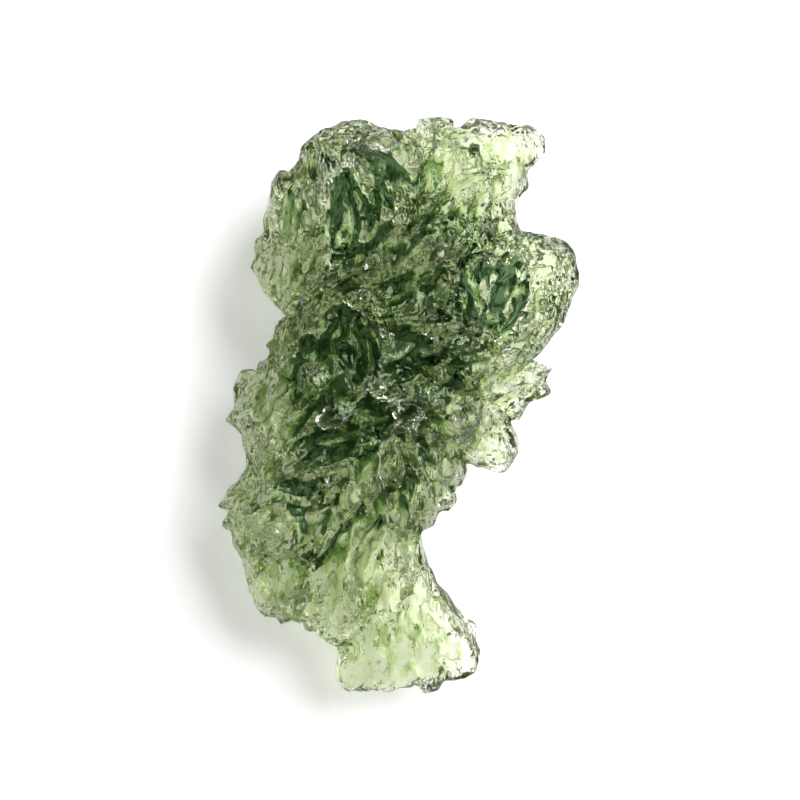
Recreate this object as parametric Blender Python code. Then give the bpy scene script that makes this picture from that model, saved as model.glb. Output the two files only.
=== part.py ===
"""A moldavite: a natural green glass stone, one solid piece, deeply etched by the ground it lay in.

Run with: blender --background --python part.py
The stone lies on a small flat spot. X runs across it, Y along it, and Z up. Lengths in this script are
millimetres until the mesh is made, which is in metres.
"""

import math

import bmesh
import bpy
import numpy as np
import openvdb

# Driving sizes, in millimetres.
STONE_LENGTH = 34.7
RIM_ROUNDING = 2.6
RIM_LEVEL = 0.42
RIM_WAVE = 0.275
RIM_WAVES = ((0.9, 0.5, 0.0), (-0.7, 1.3, 1.0))
KEEL_EDGE = 0.16
KEEL_GROWTH = 0.34
KEEL_MOST = 0.6
WEB_LEVEL = 0.42
FLAT_SPOT_CENTRE = (-1.2, 1.6)
FLAT_SPOT_RADIUS = 2.5
FLAT_SPOT_CLEARANCE = 2.0
FLAT_SNAP = 0.05
ETCH_SEED = 7
PLAN_STEP = 0.34
GRID_STEP = 0.24
TRIANGLES = 9600
METRES = 0.001

# The photograph's frame: 578 of its pixels span the stone's length, and its middle is the stone's origin.
PHOTO_LENGTH_PX = 578.0
PHOTO_MIDDLE_PX = (398.0, 408.0)
MM_PER_PX = STONE_LENGTH / PHOTO_LENGTH_PX

# The outline seen from above, clockwise from the left notch, in photograph pixels, one list for each lobe.
OUTLINE_PX = {
    "left cheek": [
        (286, 316), (272, 301), (262, 291), (259, 281), (251, 269), (256, 253), (254, 241), (265, 233),
        (264, 219), (270, 202), (272, 182), (280, 170), (290, 173),
    ],
    "crown": [
        (298, 164), (303, 149), (312, 139), (324, 131), (335, 127), (347, 123), (370, 124), (378, 129),
        (391, 131), (404, 134),
    ],
    "wing": [
        (415, 130), (420, 121), (440, 119), (453, 121), (454, 130), (461, 129), (472, 119), (487, 122),
        (504, 123), (512, 126), (524, 123), (533, 126), (545, 139), (544, 155), (528, 173), (527, 189),
        (513, 204), (516, 219),
    ],
    "scoop": [
        (521, 231), (535, 233), (551, 238), (566, 244), (574, 254), (578, 284), (568, 306), (561, 327),
        (545, 347), (531, 360),
    ],
    "right spikes": [
        (542, 363), (555, 368), (547, 380), (552, 393), (528, 403), (521, 421), (511, 421), (517, 433),
        (520, 443), (518, 455), (507, 473), (495, 472), (481, 467), (464, 463), (467, 470), (463, 484),
        (455, 488), (457, 501), (451, 510), (439, 512), (434, 526), (421, 533),
    ],
    "foot": [
        (423, 547), (428, 566), (439, 584), (454, 606), (469, 621), (478, 629), (475, 637), (481, 654),
        (477, 671), (464, 682), (446, 683), (439, 692), (425, 697), (419, 689), (403, 692), (383, 696),
        (370, 694), (347, 694), (337, 684), (336, 667), (337, 649), (320, 640),
    ],
    "left fan": [
        (312, 631), (307, 634), (302, 624), (291, 622), (280, 626), (275, 619), (263, 619), (255, 610),
        (250, 597), (245, 578), (241, 560), (231, 545), (232, 532), (219, 528), (227, 511), (217, 506),
        (228, 491), (238, 481), (246, 469),
    ],
    "left teeth": [
        (247, 458), (242, 444), (241, 434), (233, 425), (224, 420), (235, 408), (233, 395), (231, 386),
        (240, 371), (256, 371), (257, 361), (267, 358), (270, 350), (265, 344), (272, 339), (273, 331),
        (279, 322),
    ],
}

# Where the stone is thick and thin: photograph pixel, height of the top, height of the underside.
LEVELS = {
    "crown": (355, 200, 11.6, 0.8),
    "crown brow": (370, 145, 10.4, 2.4),
    "left cheek": (285, 235, 8.2, 3.0),
    "wing root": (450, 190, 9.2, 3.6),
    "wing": (505, 150, 7.4, 3.6),
    "saddle": (420, 260, 10.6, 0.6),
    "scoop": (500, 295, 9.4, 1.2),
    "scoop edge": (560, 285, 8.4, 2.8),
    "core": (366, 340, 11.8, -1.2),
    "core belly": (362, 412, 11.8, -1.4),
    "left teeth": (258, 415, 6.8, 2.0),
    "middle right": (430, 360, 9.6, 0.6),
    "right spikes": (510, 390, 6.2, 2.2),
    "right apron": (480, 440, 5.6, 1.8),
    "left pocket": (290, 500, 8.6, 1.0),
    "left fan": (275, 575, 6.8, 1.8),
    "neck": (385, 500, 8.4, 1.6),
    "neck foot": (375, 575, 7.0, 1.8),
    "foot": (400, 650, 5.4, 2.0),
    "foot heel": (450, 650, 5.0, 2.0),
}
LEVEL_REACH_PX = 26.0

# Hollows scooped out of the top: photograph pixel of the middle, radii in pixels, turn in degrees, floor
# height in millimetres.
HOLLOWS = {
    "crown bowl": (362, 222, 36, 62, -12, 7.9),
    "crown shelf": (394, 160, 26, 22, 20, 7.8),
    "scoop bowl": (492, 294, 56, 42, 8, 5.8),
    "cheek pane": (290, 222, 15, 40, -4, 5.6),
    "core shaft": (356, 350, 30, 40, 10, 8.0),
    "core pane": (312, 346, 22, 34, -14, 7.4),
    "belly gully": (330, 446, 50, 24, 24, 6.8),
    "belly shaft": (375, 412, 24, 30, 0, 8.0),
    "left pocket": (300, 494, 30, 20, -8, 4.2),
    "fan pane": (286, 580, 34, 50, 34, 5.0),
    "spike valley": (478, 398, 40, 9, -6, 3.2),
    "apron dish": (478, 440, 26, 16, 0, 2.8),
    "waist notch": (440, 486, 18, 14, 0, 3.4),
    "foot dish": (350, 648, 16, 24, 10, 3.6),
    "heel dish": (376, 622, 14, 12, 0, 4.4),
}
HOLLOW_LIP = 4.2

# Crests of the largest fins: height of the crest, then the photograph pixels that it runs through.
CRESTS = {
    "cheek wall": (10.8, [(322, 150), (318, 190), (326, 240), (320, 285)]),
    "crown brow": (11.4, [(322, 150), (350, 135), (385, 150), (410, 165)]),
    "crown thread": (10.4, [(352, 150), (380, 182), (412, 212)]),
    "long ridge": (11.0, [(478, 186), (440, 222), (412, 244), (388, 270)]),
    "wing post": (9.4, [(473, 148), (474, 186)]),
    "wing blade": (7.8, [(474, 150), (510, 146), (540, 150)]),
    "saddle ridge": (10.8, [(388, 270), (412, 300), (418, 345), (436, 372)]),
    "bowl foot": (10.6, [(320, 285), (350, 300), (388, 285)]),
    "scoop lip": (9.4, [(576, 280), (560, 326), (528, 354), (492, 362), (455, 350)]),
    "scoop brow": (9.6, [(450, 230), (500, 236), (545, 246), (570, 262)]),
    "scoop rib": (7.6, [(440, 250), (485, 290), (500, 330)]),
    "core blade": (11.0, [(284, 352), (322, 312), (352, 306)]),
    "core fin": (10.8, [(330, 330), (336, 380), (372, 372)]),
    "core ledge": (10.2, [(316, 400), (352, 388), (372, 376)]),
    "belly ledge": (10.8, [(372, 403), (418, 400), (456, 414)]),
    "belly fin": (10.4, [(300, 425), (346, 424), (366, 460)]),
    "belly blade": (10.2, [(246, 432), (282, 448), (286, 412)]),
    "spike crest": (7.2, [(436, 372), (500, 372), (552, 369)]),
    "lower spike crest": (6.4, [(458, 414), (505, 392), (550, 392)]),
    "apron crest": (5.8, [(462, 420), (490, 452), (505, 470)]),
    "neck peak": (10.6, [(344, 498), (384, 474), (404, 450), (420, 482)]),
    "neck rib": (9.4, [(404, 450), (396, 520), (404, 580)]),
    "neck left rib": (8.6, [(344, 498), (352, 560), (344, 620)]),
    "pocket lip": (8.8, [(262, 480), (300, 516), (332, 500)]),
    "fan edge": (7.4, [(250, 560), (290, 548), (330, 520)]),
    "fan spine": (7.0, [(332, 520), (316, 580), (280, 618)]),
    "foot edge": (6.2, [(428, 570), (440, 610), (474, 650)]),
    "foot spine": (5.8, [(380, 600), (366, 650), (372, 690)]),
}
FIN_SLOPE = 2.6

# How the etching changes from place to place: photograph pixel, the way that the flutes run in degrees, how
# many times longer than wide they are, and how wide and how deep they are against the usual.
FLOWS = {
    "crown": (340, 195, 95, 3.0, 0.85, 1.2),
    "crown right": (392, 168, 135, 3.2, 0.8, 1.0),
    "crown brow": (345, 135, 40, 1.8, 0.8, 0.8),
    "bowl foot": (350, 280, 20, 2.0, 0.8, 1.0),
    "left cheek": (282, 235, 86, 3.4, 0.6, 0.8),
    "wing root": (450, 190, 42, 2.4, 0.9, 0.8),
    "wing": (510, 155, 15, 1.5, 1.5, 0.4),
    "saddle": (408, 250, 62, 2.2, 0.7, 1.0),
    "saddle shingles": (410, 310, 15, 2.0, 0.75, 1.0),
    "scoop floor": (480, 295, 96, 3.0, 0.8, 1.0),
    "scoop fringe": (545, 262, 50, 2.4, 0.75, 0.8),
    "scoop lip": (540, 345, 40, 3.0, 1.2, 0.3),
    "core": (300, 340, 52, 2.0, 1.0, 1.2),
    "core shaft": (362, 350, 100, 2.4, 0.9, 1.3),
    "core belly": (340, 415, 18, 2.4, 0.9, 1.3),
    "left teeth": (256, 405, 60, 1.2, 1.0, 1.0),
    "middle right": (440, 370, 0, 2.4, 1.0, 0.8),
    "right spikes": (515, 388, 4, 2.4, 1.1, 0.8),
    "right apron": (480, 442, 128, 2.2, 1.0, 0.7),
    "left pocket": (288, 500, 30, 1.4, 1.0, 1.1),
    "left fan": (278, 580, 52, 2.2, 1.3, 0.4),
    "neck left": (348, 540, 68, 4.0, 0.7, 0.6),
    "neck": (388, 510, 92, 3.6, 0.7, 0.6),
    "neck right": (432, 500, 118, 1.8, 0.8, 0.9),
    "foot": (385, 650, 84, 2.2, 0.9, 0.55),
    "foot heel": (452, 640, 122, 2.6, 1.1, 0.5),
}
FLOW_REACH_PX = 16.0
FLOW_SPREAD = 0.24
STRETCH_SPREAD = (0.8, 1.4)
UNDERSIDE_DEPTH = 0.6

# Etch pits: the count tried, the least gap between the middles of two in pit sizes, and the pit's half width
# and half depth, each as a low and a high value in millimetres.
ETCHING = {
    "valleys": {"tries": 2500, "gap": 1.25, "width": (1.2, 1.9), "depth": (1.2, 2.0)},
    "flutes": {"tries": 5000, "gap": 1.4, "width": (0.6, 0.95), "depth": (0.4, 0.75)},
}
PIT_SINK = 0.1
FOLD = 1.25
PIT_LEAN = 0.35
FULL_SIZE_WALL = 8.0
LEAST_PIT = 0.36
RIM_PIT = 0.5

# A fin breaks away where less than this share of the space around it is glass.
SLENDER_SHARE = 0.17
SLENDER_REACH = 0.75


def from_photo(px, py):
    """Millimetres across and along the stone for a pixel of the photograph."""
    across = (np.asarray(px, float) - PHOTO_MIDDLE_PX[0]) * MM_PER_PX
    along = (PHOTO_MIDDLE_PX[1] - np.asarray(py, float)) * MM_PER_PX
    return across, along


def polyline_distance(x, y, points):
    """Distance from each (x, y) to the nearest point of a polyline."""
    nearest = np.full(x.shape, np.inf)
    for (ax, ay), (bx, by) in zip(points[:-1], points[1:]):
        run_x, run_y = bx - ax, by - ay
        share = ((x - ax) * run_x + (y - ay) * run_y) / (run_x**2 + run_y**2)
        share = np.clip(share, 0.0, 1.0)
        nearest = np.minimum(nearest, np.hypot(x - ax - share * run_x, y - ay - share * run_y))
    return nearest


def outline_points():
    """The outline in millimetres as one closed ring."""
    ring = [point for lobe in OUTLINE_PX.values() for point in lobe]
    return [tuple(float(v) for v in from_photo(*point)) for point in ring]


def depth_inside(x, y):
    """How far inside the outline each (x, y) is; negative outside."""
    ring = outline_points()
    inside = np.zeros(x.shape, bool)
    for (ax, ay), (bx, by) in zip(ring, ring[1:] + ring[:1]):
        if ay == by:
            continue
        crossing = ax + (y - ay) * (bx - ax) / (by - ay)
        inside ^= ((ay > y) != (by > y)) & (x < crossing)
    distance = polyline_distance(x, y, ring + ring[:1])
    return np.where(inside, distance, -distance)


def levels_at(x, y):
    """Heights of the stone's top and underside, before any hollow or fin."""
    reach = LEVEL_REACH_PX * MM_PER_PX
    total, top, under = 0.0, 0.0, 0.0
    for px, py, top_height, under_height in LEVELS.values():
        at_x, at_y = from_photo(px, py)
        weight = 1.0 / ((x - at_x) ** 2 + (y - at_y) ** 2 + reach**2) ** 2
        total = total + weight
        top = top + weight * top_height
        under = under + weight * under_height
    return top / total, under / total


def scoop_hollows(x, y, top):
    """The top lowered into each hollow, whose wall rises as a bowl's does."""
    for px, py, radius_x, radius_y, turn, floor in HOLLOWS.values():
        at_x, at_y = from_photo(px, py)
        c, s = math.cos(math.radians(turn)), math.sin(math.radians(turn))
        u = ((x - at_x) * c + (y - at_y) * s) / (radius_x * MM_PER_PX)
        v = ((y - at_y) * c - (x - at_x) * s) / (radius_y * MM_PER_PX)
        top = np.minimum(top, floor + HOLLOW_LIP * (u**2 + v**2))
    return top


def raise_fins(x, y, top):
    """The top raised to a sharp crest along each large fin."""
    for height, route in CRESTS.values():
        points = [tuple(float(v) for v in from_photo(*point)) for point in route]
        top = np.maximum(top, height - FIN_SLOPE * polyline_distance(x, y, points))
    return top


def rim_level(x, y, top, under):
    """Height of the keel that runs round the rim, between the top's pits and the underside's."""
    wave = sum(np.sin(across * x + along * y + start) for across, along, start in RIM_WAVES)
    return under + RIM_LEVEL * (top - under) + RIM_WAVE * wave


def rim_bulge(depth):
    """How much of its full height the stone has at this depth inside the outline, for a rounded rim."""
    inward = np.clip(depth / RIM_ROUNDING, 0.0, 1.0)
    return np.sqrt(1.0 - (1.0 - inward) ** 2)


def form_heights(x, y):
    """Depth inside the outline, and heights of the rim, hollowed top, finned top and underside."""
    depth = depth_inside(x, y)
    top, under = levels_at(x, y)
    rim = rim_level(x, y, top, under)
    hollowed = scoop_hollows(x, y, top)
    bulge = rim_bulge(depth)
    heights = (rim + (height - rim) * bulge for height in (hollowed, raise_fins(x, y, hollowed), under))
    return (depth, rim, *heights)


def form_field(axes):
    """The unetched stone as a field: negative inside, about the distance to the surface in millimetres."""
    x, y = np.meshgrid(axes[0], axes[1], indexing="ij")
    depth, _, _, top, under = form_heights(x, y)
    z = axes[2][None, None, :]
    faces = [z - top[:, :, None], under[:, :, None] - z, -depth[:, :, None] + 0.0 * z]
    return np.maximum.reduce(faces).astype(np.float32)


def keel_field(axes):
    """The thin keel round the rim, and the web inside it that no pit cuts through."""
    x, y = np.meshgrid(axes[0], axes[1], indexing="ij")
    depth, rim, hollowed, _, under = form_heights(x, y)
    inward = np.clip(depth / RIM_ROUNDING, 0.0, 1.0)
    level = rim + (WEB_LEVEL * hollowed + (1.0 - WEB_LEVEL) * under - rim) * inward
    half = np.minimum(KEEL_EDGE + KEEL_GROWTH * np.maximum(depth, 0.0), KEEL_MOST)
    z = axes[2][None, None, :]
    faces = [np.abs(z - level[:, :, None]) - half[:, :, None], -depth[:, :, None] + 0.0 * z]
    return np.maximum.reduce(faces).astype(np.float32)


def surface_of(field, origin, step):
    """Points and faces where the field crosses zero."""
    grid = openvdb.FloatGrid(4.0 * step)
    grid.copyFromArray(np.ascontiguousarray(field))
    grid.transform = openvdb.createLinearTransform(voxelSize=step)
    points, quads = grid.convertToQuads(0.0)
    return points + origin, quads


def face_normals(points, quads):
    """Unit normals of the faces."""
    across = points[quads[:, 2]] - points[quads[:, 0]]
    along = points[quads[:, 3]] - points[quads[:, 1]]
    normal = np.cross(across, along)
    return normal / np.maximum(np.linalg.norm(normal, axis=1, keepdims=True), 1e-9)


def flows_at(x, y):
    """Way in radians, stretch, width and depth of the etching at each (x, y)."""
    reach = FLOW_REACH_PX * MM_PER_PX
    total, blend = np.zeros(x.shape), np.zeros((5, *x.shape))
    for px, py, way, stretch, width, depth in FLOWS.values():
        at_x, at_y = from_photo(px, py)
        weight = 1.0 / ((x - at_x) ** 2 + (y - at_y) ** 2 + reach**2) ** 2
        doubled = 2.0 * math.radians(way)
        total += weight
        blend += [weight * v for v in (math.cos(doubled), math.sin(doubled), stretch, width, depth)]
    blend /= total
    return 0.5 * np.arctan2(blend[1], blend[0]), blend[2], blend[3], blend[4]


def pit_ways(way, normal):
    """Length, width and depth directions of a pit that leans over to one side of its flute."""
    flute = np.array([math.cos(way), math.sin(way), 0.0])
    down = -normal + PIT_LEAN * np.cross(normal, flute)
    down /= np.linalg.norm(down)
    length_way = flute - down * float(flute @ down)
    length_way /= max(float(np.linalg.norm(length_way)), 1e-6)
    return np.array([length_way, np.cross(down, length_way), down])


def keeps_flat_spot(point, reach):
    """Whether a pit here would leave the resting spot whole."""
    if point[2] > FLAT_SPOT_CLEARANCE:
        return True
    gap = math.hypot(point[0] - FLAT_SPOT_CENTRE[0], point[1] - FLAT_SPOT_CENTRE[1])
    return gap > FLAT_SPOT_RADIUS + reach


def cut_pit(field, origin, step, centre, ways, radii):
    """Cuts one pit out of the field: a valley of two flat flanks that closes in a curve at both ends."""
    reach = float(max(radii)) + step
    low = np.maximum(np.floor((centre - reach - origin) / step).astype(int), 0)
    high = np.minimum(np.ceil((centre + reach - origin) / step).astype(int) + 1, field.shape)
    if (high <= low).any():
        return
    offsets = [origin[i] + step * np.arange(low[i], high[i]) - centre[i] for i in range(3)]
    dx, dy, dz = np.meshgrid(*offsets, indexing="ij")
    along, across, deep = (
        np.abs(ways[i][0] * dx + ways[i][1] * dy + ways[i][2] * dz) / radii[i] for i in range(3)
    )
    folded = (across**FOLD + deep**FOLD) ** (1.0 / FOLD)
    cut = (1.0 - np.hypot(along, folded)) * float(min(radii))
    block = tuple(slice(low[i], high[i]) for i in range(3))
    field[block] = np.maximum(field[block], cut)


def pit_scales(points, normals):
    """How much smaller pits are at these points: less where the stone is thin, and on the steep rim."""
    _, _, _, top, under = form_heights(points[:, 0], points[:, 1])
    walls = np.clip((top - under) / FULL_SIZE_WALL, LEAST_PIT, 1.0)
    return walls * (RIM_PIT + (1.0 - RIM_PIT) * np.abs(normals[:, 2]))


def plan_pits(field, origin, step, rule, rng):
    """Pits that cover the surface, so that their shared edges stand as sharp fins."""
    points, quads = surface_of(field, origin, step)
    normals = face_normals(points, quads)
    middles = points[quads].mean(axis=1)
    normals *= np.sign((normals[:, 2] * middles[:, 2]).sum())
    flows, scales = flows_at(middles[:, 0], middles[:, 1]), pit_scales(middles, normals)
    placed, facing, pits = np.zeros((rule["tries"], 3)), np.zeros((rule["tries"], 3)), []
    for pick in rng.integers(0, len(middles), rule["tries"]):
        point, normal, scale = middles[pick], normals[pick], float(scales[pick])
        way, stretch, width, depth = (float(flow[pick]) for flow in flows)
        half_width = scale * width * rng.uniform(*rule["width"])
        half_length = half_width * stretch * rng.uniform(*STRETCH_SPREAD)
        half_depth = scale * depth * rng.uniform(*rule["depth"])
        if normal[2] < 0.0:
            half_depth *= UNDERSIDE_DEPTH
        ways = pit_ways(way + rng.normal(0.0, FLOW_SPREAD), normal)
        radii = np.array([half_length, half_width, half_depth])
        count = len(pits)
        gaps = (((placed[:count] - point) @ ways.T / radii) ** 2).sum(axis=1)
        if ((gaps < rule["gap"] ** 2) & (facing[:count] @ normal > 0.0)).any():
            continue
        if not keeps_flat_spot(point, half_length):
            continue
        placed[count], facing[count] = point, normal
        pits.append((point + normal * PIT_SINK * half_depth, ways, radii))
    return pits


def box_blur(values, cells):
    """The values averaged over a box this many cells to each side, along all three axes, twice over."""
    for axis in (0, 1, 2, 0, 1, 2):
        edges = [(0, 0)] * 3
        edges[axis] = (cells + 1, cells)
        summed = np.cumsum(np.pad(values, edges, mode="edge"), axis=axis)
        width = 2 * cells + 1
        count = values.shape[axis]
        high = np.take(summed, range(width, width + count), axis=axis)
        values = (high - np.take(summed, range(count), axis=axis)) / width
    return values


def break_slender(field, step):
    """The field with fins and spires that are too slender to last broken away."""
    share = box_blur((field < 0).astype(np.float32), max(1, round(SLENDER_REACH / step)))
    return np.maximum(field, SLENDER_REACH * (SLENDER_SHARE - share)).astype(np.float32)


def grid_axes(step):
    """Origin and axes of a grid of this step that holds the stone."""
    across_px = [point[0] for lobe in OUTLINE_PX.values() for point in lobe]
    margin = 4 * step
    half_width = max(abs(px - PHOTO_MIDDLE_PX[0]) for px in across_px) * MM_PER_PX + margin
    half_length = STONE_LENGTH / 2 + margin
    tallest = max(height for height, _ in CRESTS.values()) + margin
    lowest = min(level[3] for level in LEVELS.values()) - margin
    origin = np.array([-half_width, -half_length, lowest])
    ends = (half_width, half_length, tallest)
    return origin, [np.arange(origin[i], ends[i], step) for i in range(3)]


def flat_base(field, axes):
    """The field cut flat at the height that the stone rests on."""
    return np.maximum(field, -axes[2][None, None, :]).astype(np.float32)


def all_pits():
    """Every pit of the solid, each round planned on the surface that the round before it left."""
    origin, axes = grid_axes(PLAN_STEP)
    field = flat_base(form_field(axes), axes)
    rng = np.random.default_rng(ETCH_SEED)
    pits = []
    for rule in ETCHING.values():
        planned = plan_pits(field, origin, PLAN_STEP, rule, rng)
        for pit in planned:
            cut_pit(field, origin, PLAN_STEP, *pit)
        pits += planned
        field = break_slender(field, PLAN_STEP)
    return pits


def stone_field():
    """The whole stone: its form, etched, with its keel, and cut flat where it rests."""
    origin, axes = grid_axes(GRID_STEP)
    field = form_field(axes)
    for pit in all_pits():
        cut_pit(field, origin, GRID_STEP, *pit)
    field = np.minimum(break_slender(field, GRID_STEP), keel_field(axes))
    return flat_base(field, axes), origin


def keep_largest_body(bm):
    """Deletes crumbs that the etching cut free."""
    unseen, bodies = set(bm.verts), []
    while unseen:
        front = [unseen.pop()]
        body = set(front)
        while front:
            for edge in front.pop().link_edges:
                for vert in edge.verts:
                    if vert in unseen:
                        unseen.remove(vert)
                        body.add(vert)
                        front.append(vert)
        bodies.append(body)
    largest = max(bodies, key=len)
    crumbs = [vert for body in bodies if body is not largest for vert in body]
    bmesh.ops.delete(bm, geom=crumbs, context="VERTS")


def glass_material():
    """Bottle-green natural glass."""
    material = bpy.data.materials.new("moldavite_glass")
    material.use_nodes = True
    shader = material.node_tree.nodes["Principled BSDF"]
    shader.inputs["Base Color"].default_value = (0.23, 0.36, 0.14, 1.0)
    shader.inputs["Roughness"].default_value = 0.12
    shader.inputs["Metallic"].default_value = 0.0
    shader.inputs["IOR"].default_value = 1.49
    return material


def build_stone():
    """The stone as one closed mesh object, in metres."""
    field, origin = stone_field()
    points, quads = surface_of(field, origin, GRID_STEP)
    mesh = bpy.data.meshes.new("moldavite")
    mesh.from_pydata((points * METRES).tolist(), [], quads.tolist())
    bm = bmesh.new()
    bm.from_mesh(mesh)
    keep_largest_body(bm)
    if bm.calc_volume(signed=True) < 0:
        bmesh.ops.reverse_faces(bm, faces=bm.faces)
    bmesh.ops.triangulate(bm, faces=bm.faces)
    triangle_count = len(bm.faces)
    bm.to_mesh(mesh)
    bm.free()
    mesh.materials.append(glass_material())
    stone = bpy.data.objects.new("moldavite", mesh)
    bpy.context.scene.collection.objects.link(stone)
    facets = stone.modifiers.new("facets", "DECIMATE")
    facets.ratio = TRIANGLES / triangle_count
    graph = bpy.context.evaluated_depsgraph_get()
    stone.data = bpy.data.meshes.new_from_object(stone.evaluated_get(graph), depsgraph=graph)
    stone.modifiers.clear()
    for vertex in stone.data.vertices:
        if vertex.co.z < FLAT_SNAP * METRES:
            vertex.co.z = 0.0
    return stone


def main():
    for old in list(bpy.data.objects):
        bpy.data.objects.remove(old)
    build_stone()


if __name__ == "__main__":
    main()
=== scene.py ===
"""The looks of a moldavite: a see-through green glass stone on a pale studio table.

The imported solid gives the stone's place and size. The stone's own mesh follows the same form on a finer
grid, with one more round of etching, and a Geometry Nodes tree lays flat flakes on it.
"""

import math

import bmesh
import bpy
import numpy as np
import openvdb
from bpy.props import FloatProperty, FloatVectorProperty, IntProperty, PointerProperty
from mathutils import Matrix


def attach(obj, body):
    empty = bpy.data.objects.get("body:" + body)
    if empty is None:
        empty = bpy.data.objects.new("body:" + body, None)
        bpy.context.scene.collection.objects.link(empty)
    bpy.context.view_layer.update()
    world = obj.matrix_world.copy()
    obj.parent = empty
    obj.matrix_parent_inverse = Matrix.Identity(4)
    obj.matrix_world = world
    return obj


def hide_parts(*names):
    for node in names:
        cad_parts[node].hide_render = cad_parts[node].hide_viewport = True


bl_info = {
    "name": "Moldavite",
    "version": (1, 0, 0),
    "blender": (4, 5, 0),
    "location": "3D View > Sidebar > Moldavite",
    "description": "Sculpts an etched natural glass stone and lights it on a pale table",
    "category": "Add Mesh",
}

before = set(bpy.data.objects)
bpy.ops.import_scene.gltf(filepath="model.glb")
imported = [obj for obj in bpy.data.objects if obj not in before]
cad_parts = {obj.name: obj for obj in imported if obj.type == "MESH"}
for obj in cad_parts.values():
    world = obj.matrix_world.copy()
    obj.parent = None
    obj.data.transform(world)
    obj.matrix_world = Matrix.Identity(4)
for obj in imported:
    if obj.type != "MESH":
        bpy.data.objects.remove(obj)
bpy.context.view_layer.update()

# One millimetre in metres.
MM = 0.001

# Driving sizes of the form, in millimetres.
STONE_LENGTH = 34.7
RIM_ROUNDING = 2.6
RIM_LEVEL = 0.42
RIM_WAVE = 0.275
RIM_WAVES = ((0.9, 0.5, 0.0), (-0.7, 1.3, 1.0))
KEEL_EDGE = 0.16
KEEL_GROWTH = 0.34
KEEL_MOST = 0.6
WEB_LEVEL = 0.42
FLAT_SPOT_CENTRE = (-1.2, 1.6)
FLAT_SPOT_RADIUS = 2.5
FLAT_SPOT_CLEARANCE = 2.0
FLAT_SNAP = 0.05
ETCH_SEED = 7
PLAN_STEP = 0.34

# The photograph's frame: 578 of its pixels span the stone's length, and its middle is the stone's origin.
PHOTO_SIDE_PX = 800.0
PHOTO_LENGTH_PX = 578.0
PHOTO_MIDDLE_PX = (398.0, 408.0)
MM_PER_PX = STONE_LENGTH / PHOTO_LENGTH_PX

# The outline seen from above, clockwise from the left notch, in photograph pixels, one list for each lobe.
OUTLINE_PX = {
    "left cheek": [
        (286, 316), (272, 301), (262, 291), (259, 281), (251, 269), (256, 253), (254, 241), (265, 233),
        (264, 219), (270, 202), (272, 182), (280, 170), (290, 173),
    ],
    "crown": [
        (298, 164), (303, 149), (312, 139), (324, 131), (335, 127), (347, 123), (370, 124), (378, 129),
        (391, 131), (404, 134),
    ],
    "wing": [
        (415, 130), (420, 121), (440, 119), (453, 121), (454, 130), (461, 129), (472, 119), (487, 122),
        (504, 123), (512, 126), (524, 123), (533, 126), (545, 139), (544, 155), (528, 173), (527, 189),
        (513, 204), (516, 219),
    ],
    "scoop": [
        (521, 231), (535, 233), (551, 238), (566, 244), (574, 254), (578, 284), (568, 306), (561, 327),
        (545, 347), (531, 360),
    ],
    "right spikes": [
        (542, 363), (555, 368), (547, 380), (552, 393), (528, 403), (521, 421), (511, 421), (517, 433),
        (520, 443), (518, 455), (507, 473), (495, 472), (481, 467), (464, 463), (467, 470), (463, 484),
        (455, 488), (457, 501), (451, 510), (439, 512), (434, 526), (421, 533),
    ],
    "foot": [
        (423, 547), (428, 566), (439, 584), (454, 606), (469, 621), (478, 629), (475, 637), (481, 654),
        (477, 671), (464, 682), (446, 683), (439, 692), (425, 697), (419, 689), (403, 692), (383, 696),
        (370, 694), (347, 694), (337, 684), (336, 667), (337, 649), (320, 640),
    ],
    "left fan": [
        (312, 631), (307, 634), (302, 624), (291, 622), (280, 626), (275, 619), (263, 619), (255, 610),
        (250, 597), (245, 578), (241, 560), (231, 545), (232, 532), (219, 528), (227, 511), (217, 506),
        (228, 491), (238, 481), (246, 469),
    ],
    "left teeth": [
        (247, 458), (242, 444), (241, 434), (233, 425), (224, 420), (235, 408), (233, 395), (231, 386),
        (240, 371), (256, 371), (257, 361), (267, 358), (270, 350), (265, 344), (272, 339), (273, 331),
        (279, 322),
    ],
}

# Where the stone is thick and thin: photograph pixel, height of the top, height of the underside.
LEVELS = {
    "crown": (355, 200, 11.6, 0.8),
    "crown brow": (370, 145, 10.4, 2.4),
    "left cheek": (285, 235, 8.2, 3.0),
    "wing root": (450, 190, 9.2, 3.6),
    "wing": (505, 150, 7.4, 3.6),
    "saddle": (420, 260, 10.6, 0.6),
    "scoop": (500, 295, 9.4, 1.2),
    "scoop edge": (560, 285, 8.4, 2.8),
    "core": (366, 340, 11.8, -1.2),
    "core belly": (362, 412, 11.8, -1.4),
    "left teeth": (258, 415, 6.8, 2.0),
    "middle right": (430, 360, 9.6, 0.6),
    "right spikes": (510, 390, 6.2, 2.2),
    "right apron": (480, 440, 5.6, 1.8),
    "left pocket": (290, 500, 8.6, 1.0),
    "left fan": (275, 575, 6.8, 1.8),
    "neck": (385, 500, 8.4, 1.6),
    "neck foot": (375, 575, 7.0, 1.8),
    "foot": (400, 650, 5.4, 2.0),
    "foot heel": (450, 650, 5.0, 2.0),
}
LEVEL_REACH_PX = 26.0

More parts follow.
